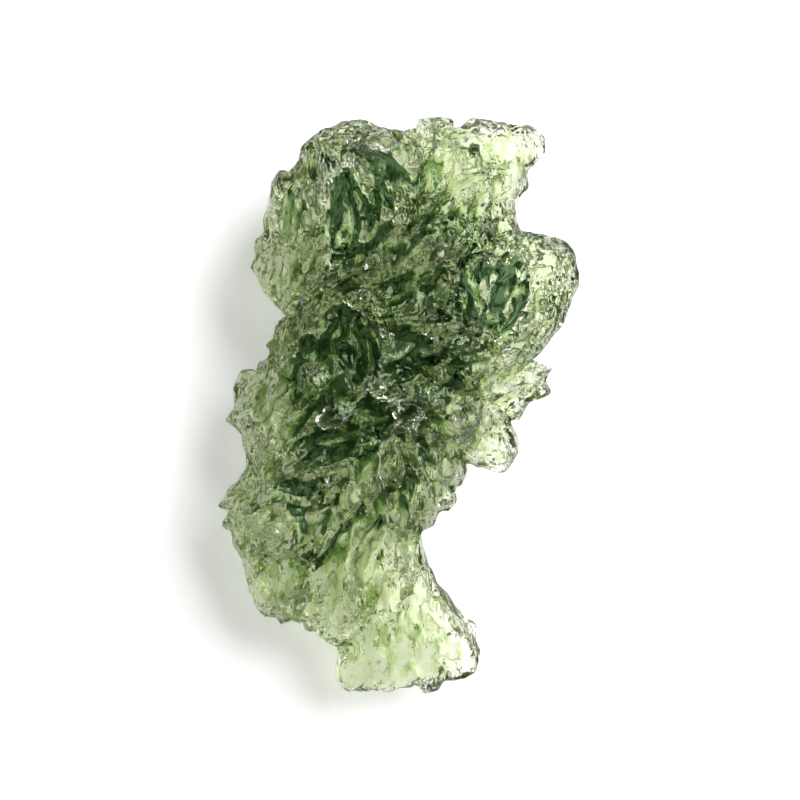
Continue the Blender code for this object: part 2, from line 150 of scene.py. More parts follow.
# Hollows scooped out of the top: photograph pixel of the middle, radii in pixels, turn in degrees, floor
# height in millimetres.
HOLLOWS = {
    "crown bowl": (362, 222, 36, 62, -12, 7.9),
    "crown shelf": (394, 160, 26, 22, 20, 7.8),
    "scoop bowl": (492, 294, 56, 42, 8, 5.8),
    "cheek pane": (290, 222, 15, 40, -4, 5.6),
    "core shaft": (356, 350, 30, 40, 10, 8.0),
    "core pane": (312, 346, 22, 34, -14, 7.4),
    "belly gully": (330, 446, 50, 24, 24, 6.8),
    "belly shaft": (375, 412, 24, 30, 0, 8.0),
    "left pocket": (300, 494, 30, 20, -8, 4.2),
    "fan pane": (286, 580, 34, 50, 34, 5.0),
    "spike valley": (478, 398, 40, 9, -6, 3.2),
    "apron dish": (478, 440, 26, 16, 0, 2.8),
    "waist notch": (440, 486, 18, 14, 0, 3.4),
    "foot dish": (350, 648, 16, 24, 10, 3.6),
    "heel dish": (376, 622, 14, 12, 0, 4.4),
}
HOLLOW_LIP = 4.2

# Crests of the largest fins: height of the crest, then the photograph pixels that it runs through.
CRESTS = {
    "cheek wall": (10.8, [(322, 150), (318, 190), (326, 240), (320, 285)]),
    "crown brow": (11.4, [(322, 150), (350, 135), (385, 150), (410, 165)]),
    "crown thread": (10.4, [(352, 150), (380, 182), (412, 212)]),
    "long ridge": (11.0, [(478, 186), (440, 222), (412, 244), (388, 270)]),
    "wing post": (9.4, [(473, 148), (474, 186)]),
    "wing blade": (7.8, [(474, 150), (510, 146), (540, 150)]),
    "saddle ridge": (10.8, [(388, 270), (412, 300), (418, 345), (436, 372)]),
    "bowl foot": (10.6, [(320, 285), (350, 300), (388, 285)]),
    "scoop lip": (9.4, [(576, 280), (560, 326), (528, 354), (492, 362), (455, 350)]),
    "scoop brow": (9.6, [(450, 230), (500, 236), (545, 246), (570, 262)]),
    "scoop rib": (7.6, [(440, 250), (485, 290), (500, 330)]),
    "core blade": (11.0, [(284, 352), (322, 312), (352, 306)]),
    "core fin": (10.8, [(330, 330), (336, 380), (372, 372)]),
    "core ledge": (10.2, [(316, 400), (352, 388), (372, 376)]),
    "belly ledge": (10.8, [(372, 403), (418, 400), (456, 414)]),
    "belly fin": (10.4, [(300, 425), (346, 424), (366, 460)]),
    "belly blade": (10.2, [(246, 432), (282, 448), (286, 412)]),
    "spike crest": (7.2, [(436, 372), (500, 372), (552, 369)]),
    "lower spike crest": (6.4, [(458, 414), (505, 392), (550, 392)]),
    "apron crest": (5.8, [(462, 420), (490, 452), (505, 470)]),
    "neck peak": (10.6, [(344, 498), (384, 474), (404, 450), (420, 482)]),
    "neck rib": (9.4, [(404, 450), (396, 520), (404, 580)]),
    "neck left rib": (8.6, [(344, 498), (352, 560), (344, 620)]),
    "pocket lip": (8.8, [(262, 480), (300, 516), (332, 500)]),
    "fan edge": (7.4, [(250, 560), (290, 548), (330, 520)]),
    "fan spine": (7.0, [(332, 520), (316, 580), (280, 618)]),
    "foot edge": (6.2, [(428, 570), (440, 610), (474, 650)]),
    "foot spine": (5.8, [(380, 600), (366, 650), (372, 690)]),
}
FIN_SLOPE = 2.6

# How the etching changes from place to place: photograph pixel, the way that the flutes run in degrees, how
# many times longer than wide they are, and how wide and how deep they are against the usual.
FLOWS = {
    "crown": (340, 195, 95, 3.0, 0.85, 1.2),
    "crown right": (392, 168, 135, 3.2, 0.8, 1.0),
    "crown brow": (345, 135, 40, 1.8, 0.8, 0.8),
    "bowl foot": (350, 280, 20, 2.0, 0.8, 1.0),
    "left cheek": (282, 235, 86, 3.4, 0.6, 0.8),
    "wing root": (450, 190, 42, 2.4, 0.9, 0.8),
    "wing": (510, 155, 15, 1.5, 1.5, 0.4),
    "saddle": (408, 250, 62, 2.2, 0.7, 1.0),
    "saddle shingles": (410, 310, 15, 2.0, 0.75, 1.0),
    "scoop floor": (480, 295, 96, 3.0, 0.8, 1.0),
    "scoop fringe": (545, 262, 50, 2.4, 0.75, 0.8),
    "scoop lip": (540, 345, 40, 3.0, 1.2, 0.3),
    "core": (300, 340, 52, 2.0, 1.0, 1.2),
    "core shaft": (362, 350, 100, 2.4, 0.9, 1.3),
    "core belly": (340, 415, 18, 2.4, 0.9, 1.3),
    "left teeth": (256, 405, 60, 1.2, 1.0, 1.0),
    "middle right": (440, 370, 0, 2.4, 1.0, 0.8),
    "right spikes": (515, 388, 4, 2.4, 1.1, 0.8),
    "right apron": (480, 442, 128, 2.2, 1.0, 0.7),
    "left pocket": (288, 500, 30, 1.4, 1.0, 1.1),
    "left fan": (278, 580, 52, 2.2, 1.3, 0.4),
    "neck left": (348, 540, 68, 4.0, 0.7, 0.6),
    "neck": (388, 510, 92, 3.6, 0.7, 0.6),
    "neck right": (432, 500, 118, 1.8, 0.8, 0.9),
    "foot": (385, 650, 84, 2.2, 0.9, 0.55),
    "foot heel": (452, 640, 122, 2.6, 1.1, 0.5),
}
FLOW_REACH_PX = 16.0
FLOW_SPREAD = 0.24
STRETCH_SPREAD = (0.8, 1.4)
UNDERSIDE_DEPTH = 0.6

# Etch pits: the count tried, the least gap between the middles of two in pit sizes, and the pit's half width
# and half depth, each as a low and a high value in millimetres.
ETCHING = {
    "valleys": {"tries": 2500, "gap": 1.25, "width": (1.2, 1.9), "depth": (1.2, 2.0)},
    "flutes": {"tries": 5000, "gap": 1.4, "width": (0.6, 0.95), "depth": (0.4, 0.75)},
}
FINE_ETCHING = {"tries": 12000, "gap": 1.5, "width": (0.38, 0.62), "depth": (0.24, 0.46)}
PIT_SINK = 0.1
FOLD = 1.25
PIT_LEAN = 0.35
FULL_SIZE_WALL = 8.0
LEAST_PIT = 0.36
RIM_PIT = 0.5

# A fin breaks away where less than this share of the space around it is glass, and so do the loops and
# threads that the fine etching leaves.
SLENDER_SHARE = 0.17
SLENDER_REACH = 0.75
THREAD_SHARE = 0.12
THREAD_REACH = 0.3

# How unlike its neighbours a face may point and still take on their way, so that flanks flatten and crests
# stay sharp. Then the rounds that this and the fitting take, and the degrees from which a crest is sharp.
NORMAL_SPREAD = 0.28
NORMAL_ROUNDS = 3
FITTING_ROUNDS = 8
CREST_ANGLE = 28.0

# How far round a point the glass is counted, in millimetres, to tell a crest from a crease and a fin's flank
# from the gap beside it, for the painted shade and painted highlights.
CREASE_REACH = 0.26
GAP_REACH = 0.8

# Wall thicknesses, in millimetres, at which the painted shade in the gaps is palest and darkest.
THIN_WALL = 4.8
THICK_WALL = 9.4

# Depths below the smooth outer shape, in millimetres, at which the painted shade of hollows is palest and
# darkest.
SHALLOW_HOLLOW = 1.2
DEEP_HOLLOW = 4.2

# The flat flakes of the skin, in millimetres, and the distance from a flake's middle, in flakes, that the
# skin's own level lies at.
FLAKE_SIZE = 0.9
FLAKE_DEPTH = 0.17
FLAKE_STRETCH = 1.8
FLAKE_LEVEL = 0.5
FINE_SEED = 7

# How the painted shade and the skin's softness vary from patch to patch, and where each painted tint stands,
# from pale to dark.
PATCH_DETAIL = 3.0
PATCH_SHADE = 2.0
PATCH_SPAN = (0.35, 0.65)
ROUGHNESS_SPAN = (0.5, 1.5)
TINT_STOPS = (0.0, 0.35, 0.7, 1.0)

# Sizes of the stage, in metres unless they say otherwise.
TABLE_HALF = 1.0
TABLE_DROP = 0.0001
TABLE_WHITE = (0.9, 0.9, 0.9, 1.0)
TABLE_ROUGHNESS = 0.9
TABLE_GLOW = 0.48
DOME_COLOUR = (0.97, 1.0, 0.95, 1.0)
DOME_STRENGTH = 0.11
KEY_POWER = 6.2
KEY_SIDE = 0.42
KEY_PLACE = (0.34, 0.25, 0.4)
SHARP_HEIGHT = 0.005
CAMERA_GAP = 0.14
CAMERA_REACH = (0.01, 10.0)


def from_photo(px, py):
    """Millimetres across and along the stone for a pixel of the photograph."""
    across = (np.asarray(px, float) - PHOTO_MIDDLE_PX[0]) * MM_PER_PX
    along = (PHOTO_MIDDLE_PX[1] - np.asarray(py, float)) * MM_PER_PX
    return across, along


def polyline_distance(x, y, points):
    """Distance from each (x, y) to the nearest point of a polyline."""
    nearest = np.full(x.shape, np.inf)
    for (ax, ay), (bx, by) in zip(points[:-1], points[1:]):
        run_x, run_y = bx - ax, by - ay
        share = ((x - ax) * run_x + (y - ay) * run_y) / (run_x**2 + run_y**2)
        share = np.clip(share, 0.0, 1.0)
        nearest = np.minimum(nearest, np.hypot(x - ax - share * run_x, y - ay - share * run_y))
    return nearest


def outline_points():
    """The outline in millimetres as one closed ring."""
    ring = [point for lobe in OUTLINE_PX.values() for point in lobe]
    return [tuple(float(v) for v in from_photo(*point)) for point in ring]


def depth_inside(x, y):
    """How far inside the outline each (x, y) is; negative outside."""
    ring = outline_points()
    inside = np.zeros(x.shape, bool)
    for (ax, ay), (bx, by) in zip(ring, ring[1:] + ring[:1]):
        if ay == by:
            continue
        crossing = ax + (y - ay) * (bx - ax) / (by - ay)
        inside ^= ((ay > y) != (by > y)) & (x < crossing)
    distance = polyline_distance(x, y, ring + ring[:1])
    return np.where(inside, distance, -distance)


def levels_at(x, y):
    """Heights of the stone's top and underside, before any hollow or fin."""
    reach = LEVEL_REACH_PX * MM_PER_PX
    total, top, under = 0.0, 0.0, 0.0
    for px, py, top_height, under_height in LEVELS.values():
        at_x, at_y = from_photo(px, py)
        weight = 1.0 / ((x - at_x) ** 2 + (y - at_y) ** 2 + reach**2) ** 2
        total = total + weight
        top = top + weight * top_height
        under = under + weight * under_height
    return top / total, under / total


def scoop_hollows(x, y, top):
    """The top lowered into each hollow, whose wall rises as a bowl's does."""
    for px, py, radius_x, radius_y, turn, floor in HOLLOWS.values():
        at_x, at_y = from_photo(px, py)
        c, s = math.cos(math.radians(turn)), math.sin(math.radians(turn))
        u = ((x - at_x) * c + (y - at_y) * s) / (radius_x * MM_PER_PX)
        v = ((y - at_y) * c - (x - at_x) * s) / (radius_y * MM_PER_PX)
        top = np.minimum(top, floor + HOLLOW_LIP * (u**2 + v**2))
    return top


def raise_fins(x, y, top):
    """The top raised to a sharp crest along each large fin."""
    for height, route in CRESTS.values():
        points = [tuple(float(v) for v in from_photo(*point)) for point in route]
        top = np.maximum(top, height - FIN_SLOPE * polyline_distance(x, y, points))
    return top


def rim_level(x, y, top, under):
    """Height of the keel that runs round the rim, between the top's pits and the underside's."""
    wave = sum(np.sin(across * x + along * y + start) for across, along, start in RIM_WAVES)
    return under + RIM_LEVEL * (top - under) + RIM_WAVE * wave


def rim_bulge(depth):
    """How much of its full height the stone has at this depth inside the outline, for a rounded rim."""
    inward = np.clip(depth / RIM_ROUNDING, 0.0, 1.0)
    return np.sqrt(1.0 - (1.0 - inward) ** 2)


def form_heights(x, y):
    """Depth inside the outline, and heights of the rim, hollowed top, finned top and underside."""
    depth = depth_inside(x, y)
    top, under = levels_at(x, y)
    rim = rim_level(x, y, top, under)
    hollowed = scoop_hollows(x, y, top)
    bulge = rim_bulge(depth)
    heights = (rim + (height - rim) * bulge for height in (hollowed, raise_fins(x, y, hollowed), under))
    return (depth, rim, *heights)


def form_field(axes):
    """The unetched stone as a field: negative inside, about the distance to the surface in millimetres."""
    x, y = np.meshgrid(axes[0], axes[1], indexing="ij")
    depth, _, _, top, under = form_heights(x, y)
    z = axes[2][None, None, :]
    faces = [z - top[:, :, None], under[:, :, None] - z, -depth[:, :, None] + 0.0 * z]
    return np.maximum.reduce(faces).astype(np.float32)


def keel_field(axes):
    """The thin keel round the rim, and the web inside it that no pit cuts through."""
    x, y = np.meshgrid(axes[0], axes[1], indexing="ij")
    depth, rim, hollowed, _, under = form_heights(x, y)
    inward = np.clip(depth / RIM_ROUNDING, 0.0, 1.0)
    level = rim + (WEB_LEVEL * hollowed + (1.0 - WEB_LEVEL) * under - rim) * inward
    half = np.minimum(KEEL_EDGE + KEEL_GROWTH * np.maximum(depth, 0.0), KEEL_MOST)
    z = axes[2][None, None, :]
    faces = [np.abs(z - level[:, :, None]) - half[:, :, None], -depth[:, :, None] + 0.0 * z]
    return np.maximum.reduce(faces).astype(np.float32)


def surface_of(field, origin, step):
    """Points and faces where the field crosses zero."""
    grid = openvdb.FloatGrid(4.0 * step)
    grid.copyFromArray(np.ascontiguousarray(field))
    grid.transform = openvdb.createLinearTransform(voxelSize=step)
    points, quads = grid.convertToQuads(0.0)
    return points + origin, quads


def face_normals(points, quads):
    """Unit normals of the faces."""
    across = points[quads[:, 2]] - points[quads[:, 0]]
    along = points[quads[:, 3]] - points[quads[:, 1]]
    normal = np.cross(across, along)
    return normal / np.maximum(np.linalg.norm(normal, axis=1, keepdims=True), 1e-9)


def flows_at(x, y):
    """Way in radians, stretch, width and depth of the etching at each (x, y)."""
    reach = FLOW_REACH_PX * MM_PER_PX
    total, blend = np.zeros(x.shape), np.zeros((5, *x.shape))
    for px, py, way, stretch, width, depth in FLOWS.values():
        at_x, at_y = from_photo(px, py)
        weight = 1.0 / ((x - at_x) ** 2 + (y - at_y) ** 2 + reach**2) ** 2
        doubled = 2.0 * math.radians(way)
        total += weight
        blend += [weight * v for v in (math.cos(doubled), math.sin(doubled), stretch, width, depth)]
    blend /= total
    return 0.5 * np.arctan2(blend[1], blend[0]), blend[2], blend[3], blend[4]


def pit_ways(way, normal):
    """Length, width and depth directions of a pit that leans over to one side of its flute."""
    flute = np.array([math.cos(way), math.sin(way), 0.0])
    down = -normal + PIT_LEAN * np.cross(normal, flute)
    down /= np.linalg.norm(down)
    length_way = flute - down * float(flute @ down)
    length_way /= max(float(np.linalg.norm(length_way)), 1e-6)
    return np.array([length_way, np.cross(down, length_way), down])


def keeps_flat_spot(point, reach):
    """Whether a pit here would leave the resting spot whole."""
    if point[2] > FLAT_SPOT_CLEARANCE:
        return True
    gap = math.hypot(point[0] - FLAT_SPOT_CENTRE[0], point[1] - FLAT_SPOT_CENTRE[1])
    return gap > FLAT_SPOT_RADIUS + reach


def cut_pit(field, origin, step, centre, ways, radii):
    """Cuts one pit out of the field: a valley of two flat flanks that closes in a curve at both ends."""
    reach = float(max(radii)) + step
    low = np.maximum(np.floor((centre - reach - origin) / step).astype(int), 0)
    high = np.minimum(np.ceil((centre + reach - origin) / step).astype(int) + 1, field.shape)
    if (high <= low).any():
        return
    offsets = [origin[i] + step * np.arange(low[i], high[i]) - centre[i] for i in range(3)]
    dx, dy, dz = np.meshgrid(*offsets, indexing="ij")
    along, across, deep = (
        np.abs(ways[i][0] * dx + ways[i][1] * dy + ways[i][2] * dz) / radii[i] for i in range(3)
    )
    folded = (across**FOLD + deep**FOLD) ** (1.0 / FOLD)
    cut = (1.0 - np.hypot(along, folded)) * float(min(radii))
    block = tuple(slice(low[i], high[i]) for i in range(3))
    field[block] = np.maximum(field[block], cut)


def pit_scales(points, normals):
    """How much smaller pits are at these points: less where the stone is thin, and on the steep rim."""
    _, _, _, top, under = form_heights(points[:, 0], points[:, 1])
    walls = np.clip((top - under) / FULL_SIZE_WALL, LEAST_PIT, 1.0)
    return walls * (RIM_PIT + (1.0 - RIM_PIT) * np.abs(normals[:, 2]))


def plan_pits(field, origin, step, rule, rng):
    """Pits that cover the surface, so that their shared edges stand as sharp fins."""
    points, quads = surface_of(field, origin, step)
    normals = face_normals(points, quads)
    middles = points[quads].mean(axis=1)
    normals *= np.sign((normals[:, 2] * middles[:, 2]).sum())
    flows, scales = flows_at(middles[:, 0], middles[:, 1]), pit_scales(middles, normals)
    placed, facing, pits = np.zeros((rule["tries"], 3)), np.zeros((rule["tries"], 3)), []
    for pick in rng.integers(0, len(middles), rule["tries"]):
        point, normal, scale = middles[pick], normals[pick], float(scales[pick])
        way, stretch, width, depth = (float(flow[pick]) for flow in flows)
        half_width = scale * width * rng.uniform(*rule["width"])
        half_length = half_width * stretch * rng.uniform(*STRETCH_SPREAD)
        half_depth = scale * depth * rng.uniform(*rule["depth"])
        if normal[2] < 0.0:
            half_depth *= UNDERSIDE_DEPTH
        ways = pit_ways(way + rng.normal(0.0, FLOW_SPREAD), normal)
        radii = np.array([half_length, half_width, half_depth])
        count = len(pits)
        gaps = (((placed[:count] - point) @ ways.T / radii) ** 2).sum(axis=1)
        if ((gaps < rule["gap"] ** 2) & (facing[:count] @ normal > 0.0)).any():
            continue
        if not keeps_flat_spot(point, half_length):
            continue
        placed[count], facing[count] = point, normal
        pits.append((point + normal * PIT_SINK * half_depth, ways, radii))
    return pits


def box_blur(values, cells):
    """The values averaged over a box this many cells to each side, along all three axes, twice over."""
    for axis in (0, 1, 2, 0, 1, 2):
        edges = [(0, 0)] * 3
        edges[axis] = (cells + 1, cells)
        summed = np.cumsum(np.pad(values, edges, mode="edge"), axis=axis)
        width = 2 * cells + 1
        count = values.shape[axis]
        high = np.take(summed, range(width, width + count), axis=axis)
        values = (high - np.take(summed, range(count), axis=axis)) / width
    return values


def break_slender(field, step, least=SLENDER_SHARE, reach=SLENDER_REACH):
    """The field with fins and spires that are too slender to last broken away."""
    share = box_blur((field < 0).astype(np.float32), max(1, round(reach / step)))
    return np.maximum(field, reach * (least - share)).astype(np.float32)


def grid_axes(step):
    """Origin and axes of a grid of this step that holds the stone."""
    across_px = [point[0] for lobe in OUTLINE_PX.values() for point in lobe]
    margin = 4 * step
    half_width = max(abs(px - PHOTO_MIDDLE_PX[0]) for px in across_px) * MM_PER_PX + margin
    half_length = STONE_LENGTH / 2 + margin
    tallest = max(height for height, _ in CRESTS.values()) + margin
    lowest = min(level[3] for level in LEVELS.values()) - margin
    origin = np.array([-half_width, -half_length, lowest])
    ends = (half_width, half_length, tallest)
    return origin, [np.arange(origin[i], ends[i], step) for i in range(3)]


def flat_base(field, axes):
    """The field cut flat at the height that the stone rests on."""
    return np.maximum(field, -axes[2][None, None, :]).astype(np.float32)


def all_pits():
    """Every pit of the solid, each round planned on the surface that the round before it left."""
    origin, axes = grid_axes(PLAN_STEP)
    field = flat_base(form_field(axes), axes)
    rng = np.random.default_rng(ETCH_SEED)
    pits = []
    for rule in ETCHING.values():
        planned = plan_pits(field, origin, PLAN_STEP, rule, rng)
        for pit in planned:
            cut_pit(field, origin, PLAN_STEP, *pit)
        pits += planned
        field = break_slender(field, PLAN_STEP)
    return pits


def stone_field(step, fine_seed):
    """The whole stone: its form and keel, etched in three rounds, and cut flat where it rests."""
    origin, axes = grid_axes(step)
    field = form_field(axes)
    for pit in all_pits():
        cut_pit(field, origin, step, *pit)
    field = break_slender(field, step)
    field = flat_base(np.minimum(field, keel_field(axes)), axes)
    rng = np.random.default_rng(fine_seed)
    for pit in plan_pits(field, origin, step, FINE_ETCHING, rng):
        cut_pit(field, origin, step, *pit)
    return break_slender(field, step, THREAD_SHARE, THREAD_REACH), origin


def sharpen_crests(points, quads):
    """The points moved so that flanks are flat and meet in sharp crests, as fresh glass fractures do."""
    normals = face_normals(points, quads)
    edges = np.sort(np.stack([quads, np.roll(quads, -1, axis=1)], axis=2).reshape(-1, 2), axis=1)
    owner = np.repeat(np.arange(len(quads)), 4)
    order = np.lexsort((edges[:, 1], edges[:, 0]))
    edges, owner = edges[order], owner[order]
    shared = np.flatnonzero((edges[:-1] == edges[1:]).all(axis=1))
    one, other = owner[shared], owner[shared + 1]
    for _ in range(NORMAL_ROUNDS):
        gap = ((normals[one] - normals[other]) ** 2).sum(axis=1)
        weight = np.exp(-gap / (2.0 * NORMAL_SPREAD**2))
        summed = normals.copy()
        for axis in range(3):
            summed[:, axis] += np.bincount(one, weight * normals[other, axis], len(quads))
            summed[:, axis] += np.bincount(other, weight * normals[one, axis], len(quads))
        normals = summed / np.maximum(np.linalg.norm(summed, axis=1, keepdims=True), 1e-9)
    corner, face = quads.ravel(), np.repeat(np.arange(len(quads)), 4)
    count = np.maximum(np.bincount(corner, minlength=len(points)), 1)
    for _ in range(FITTING_ROUNDS):
        middles = points[quads].mean(axis=1)
        off = ((middles[face] - points[corner]) * normals[face]).sum(axis=1)
        move = [np.bincount(corner, off * normals[face, axis], len(points)) for axis in range(3)]
        points = points + np.stack(move, axis=1) / count[:, None]
    return points


def glass_round(field, origin, step, points, reach):
    """The share of glass in the space around each point: low on a crest, high in a gap."""
    share = box_blur((field < 0).astype(np.float32), max(1, round(reach / step)))
    cells = (points - origin) / step
    low = np.clip(cells.astype(int), 0, np.array(field.shape) - 2)
    part = cells - low
    total = np.zeros(len(points))
    for corner in np.ndindex(2, 2, 2):
        weight = np.prod(np.where(corner, part, 1.0 - part), axis=1)
        at = low + corner
        total += weight * share[at[:, 0], at[:, 1], at[:, 2]]
    return total


def wall_and_depth(points):
    """How thick the smooth stone is at each point, and how far inside its surface the point lies."""
    x, y, z = points.T
    top, under = levels_at(x, y)
    rim = rim_level(x, y, top, under)
    bulge = rim_bulge(depth_inside(x, y))
    below_top = rim + (top - rim) * bulge - z
    above_under = z - rim - (under - rim) * bulge
    return (top - under) * bulge, np.maximum(np.minimum(below_top, above_under), 0.0)


def keep_largest_body(bm):
    """Deletes crumbs that the etching cut free."""
    unseen, bodies = set(bm.verts), []
    while unseen:
        front = [unseen.pop()]
        body = set(front)
        while front:
            for edge in front.pop().link_edges:
                for vert in edge.verts:
                    if vert in unseen:
                        unseen.remove(vert)
                        body.add(vert)
                        front.append(vert)
        bodies.append(body)
    largest = max(bodies, key=len)
    crumbs = [vert for body in bodies if body is not largest for vert in body]
    bmesh.ops.delete(bm, geom=crumbs, context="VERTS")


def new_node(tree, kind, place, **settings):
    """A node of this kind at this place, with its settings made."""
    node = tree.nodes.new(kind)
    node.location = place
    for name, value in settings.items():
        setattr(node, name, value)
    return node


def spread(tree, place, value, low, high):
    """A value brought from the span low to high onto 0 to 1."""
    node = new_node(tree, "ShaderNodeMapRange", place, interpolation_type="SMOOTHSTEP")
    node.inputs["From Min"].default_value = low
    node.inputs["From Max"].default_value = high
    tree.links.new(value, node.inputs["Value"])
    return node.outputs["Result"]


def reckoned(tree, place, operation, first, second):
    """The outcome of a sum on two sockets, or on a socket and a number."""
    node = new_node(tree, "ShaderNodeMath", place, operation=operation)
    for socket, value in zip(node.inputs, (first, second)):
        if isinstance(value, float):
            socket.default_value = value
        else:
            tree.links.new(value, socket)
    return node.outputs["Value"]


def painted_shade(tree, look, patches, flakes):
    """Painted shade: the more in hollows, gaps and creases of thick glass, the less on crests, as a painted
    highlight.
    """
    facts = {}
    for row, name in enumerate(("gap", "crease", "wall", "sunk", "flake")):
        node = new_node(tree, "ShaderNodeAttribute", (-1600, -220 * row), attribute_name=name)
        facts[name] = node.outputs["Fac"]
    # Painted shade in gaps, creases and deep hollows, stronger where the glass is thick and uneven from
    # patch to patch.
    gaps = spread(tree, (-1300, 0), facts["gap"], *look.gap_span)
    gaps = reckoned(tree, (-1100, -100), "MULTIPLY", gaps, look.gap_share)
    creases = spread(tree, (-1300, -220), facts["crease"], *look.crease_span)
    creases = reckoned(tree, (-1100, -260), "MULTIPLY", creases, look.crease_share)
    hollows = spread(tree, (-1300, -660), facts["sunk"], SHALLOW_HOLLOW, DEEP_HOLLOW)
    hollows = reckoned(tree, (-1100, -660), "MULTIPLY", hollows, look.sunk_share)
    shade = reckoned(tree, (-900, -160), "ADD", gaps, creases)
    shade = reckoned(tree, (-800, -300), "ADD", shade, hollows)
    thick = spread(tree, (-1300, -440), facts["wall"], THIN_WALL, THICK_WALL)
    weight = reckoned(tree, (-1100, -440), "MULTIPLY", thick, 1.0 - look.thin_share)
    weight = reckoned(tree, (-900, -440), "ADD", weight, look.thin_share)
    shade = reckoned(tree, (-700, -240), "MULTIPLY", shade, weight)
    uneven = reckoned(tree, (-900, 120), "MULTIPLY", patches, PATCH_SHADE)
    shade = reckoned(tree, (-500, -160), "MULTIPLY", shade, uneven)
    shade = reckoned(tree, (-500, -20), "MINIMUM", shade, look.darkest)
    # Painted highlight: crests lighten the shade, also in deep hollows.
    crests = spread(tree, (-1300, -1000), facts["crease"], *look.crest_span)
    crests = reckoned(tree, (-1100, -1000), "MULTIPLY", crests, look.crest_share)
    shade = reckoned(tree, (-400, -1000), "SUBTRACT", shade, crests)
    # Painted shade in the pits of the flakes, and painted highlight on their ridges.
    for place, height in ((-620, facts["flake"]), (-800, flakes)):
        depth = reckoned(tree, (-900, place), "SUBTRACT", look.ridge_level, height)
        depth = reckoned(tree, (-700, place), "MULTIPLY", depth, look.flake_share)
        depth = reckoned(tree, (-500, place), "MULTIPLY", depth, weight)
        shade = reckoned(tree, (-400, place), "ADD", shade, depth)
    shade = reckoned(tree, (-300, -1000), "MAXIMUM", shade, 0.0)
    # Painted shade along the lines between flakes where the glass is thin.
    thin = reckoned(tree, (-1100, -1200), "SUBTRACT", 1.0, thick)
    for place, height in ((-1200, facts["flake"]), (-1400, flakes)):
        line = spread(tree, (-900, place), height, *look.line_span)
        line = reckoned(tree, (-700, place), "MULTIPLY", line, look.line_share)
        line = reckoned(tree, (-500, place), "MULTIPLY", line, thin)
        shade = reckoned(tree, (-200, place), "ADD", shade, line)
    return shade


def glass_material(look):
    """Green natural glass with an etched skin, whose base colour carries painted shade: a painted highlight
    pale on its crests, dark in its gaps where it is thick.
    """
    material = bpy.data.materials.new("etched_glass")
    material.use_nodes = True
    tree = material.node_tree
    shader = tree.nodes["Principled BSDF"]
    places = new_node(tree, "ShaderNodeTexCoord", (-1600, 300)).outputs["Object"]
    # Patches make the skin's softness uneven, and the painted shade too.
    patches = new_node(tree, "ShaderNodeTexNoise", (-1400, 300))
    patches.inputs["Scale"].default_value = look.patch_scale
    patches.inputs["Detail"].default_value = PATCH_DETAIL
    tree.links.new(places, patches.inputs["Vector"])
    # Finest flakes: their bump is real relief, and the same pattern darkens their pits as painted shade.
    flakes = new_node(tree, "ShaderNodeTexVoronoi", (-900, 520), distance="MANHATTAN")
    flakes.inputs["Scale"].default_value = look.flake_scale
    stretched = new_node(tree, "ShaderNodeVectorMath", (-1200, 520), operation="MULTIPLY")
    stretched.inputs[1].default_value = (1.0, 1.0 / look.flake_stretch, 1.0)
    tree.links.new(places, stretched.inputs[0])
    tree.links.new(stretched.outputs["Vector"], flakes.inputs["Vector"])

    # The ramp turns the painted shade into base colour: painted highlight on crests, then flanks, then
    # painted shade in folds and deep gaps.
    shade_tints = new_node(tree, "ShaderNodeValToRGB", (-300, 0))
    elements = shade_tints.color_ramp.elements
    while len(elements) < len(TINT_STOPS):
        elements.new(1.0)
    colours = (look.crest_highlight_tint, look.flank_shade_tint, look.fold_shade_tint, look.gap_shade_tint)
    for element, position, colour in zip(elements, TINT_STOPS, colours):
        element.position = position
        element.color = (*colour, 1.0)
    shade = painted_shade(tree, look, patches.outputs["Fac"], flakes.outputs["Distance"])
    tree.links.new(shade, shade_tints.inputs["Fac"])
    tree.links.new(shade_tints.outputs["Color"], shader.inputs["Base Color"])

    skin = new_node(tree, "ShaderNodeMapRange", (-300, 300))
    skin.inputs["From Min"].default_value, skin.inputs["From Max"].default_value = PATCH_SPAN
    skin.inputs["To Min"].default_value = ROUGHNESS_SPAN[0] * look.roughness
    skin.inputs["To Max"].default_value = ROUGHNESS_SPAN[1] * look.roughness
    tree.links.new(patches.outputs["Fac"], skin.inputs["Value"])
    tree.links.new(skin.outputs["Result"], shader.inputs["Roughness"])

    relief = new_node(tree, "ShaderNodeBump", (-300, 520))
    relief.inputs["Strength"].default_value = look.flake_strength
    relief.inputs["Distance"].default_value = look.flake_depth
    tree.links.new(flakes.outputs["Distance"], relief.inputs["Height"])
    tree.links.new(relief.outputs["Normal"], shader.inputs["Normal"])

    shader.inputs["IOR"].default_value = look.refraction
    shader.inputs["Transmission Weight"].default_value = 1.0
    shader.inputs["Specular Tint"].default_value = (*look.gleam_tint, 1.0)
    inside = new_node(tree, "ShaderNodeVolumeAbsorption", (0, -300))
    inside.inputs["Color"].default_value = (*look.depth_colour, 1.0)
    inside.inputs["Density"].default_value = look.depth_density
    tree.links.new(inside.outputs["Volume"], tree.nodes["Material Output"].inputs["Volume"])
    return material


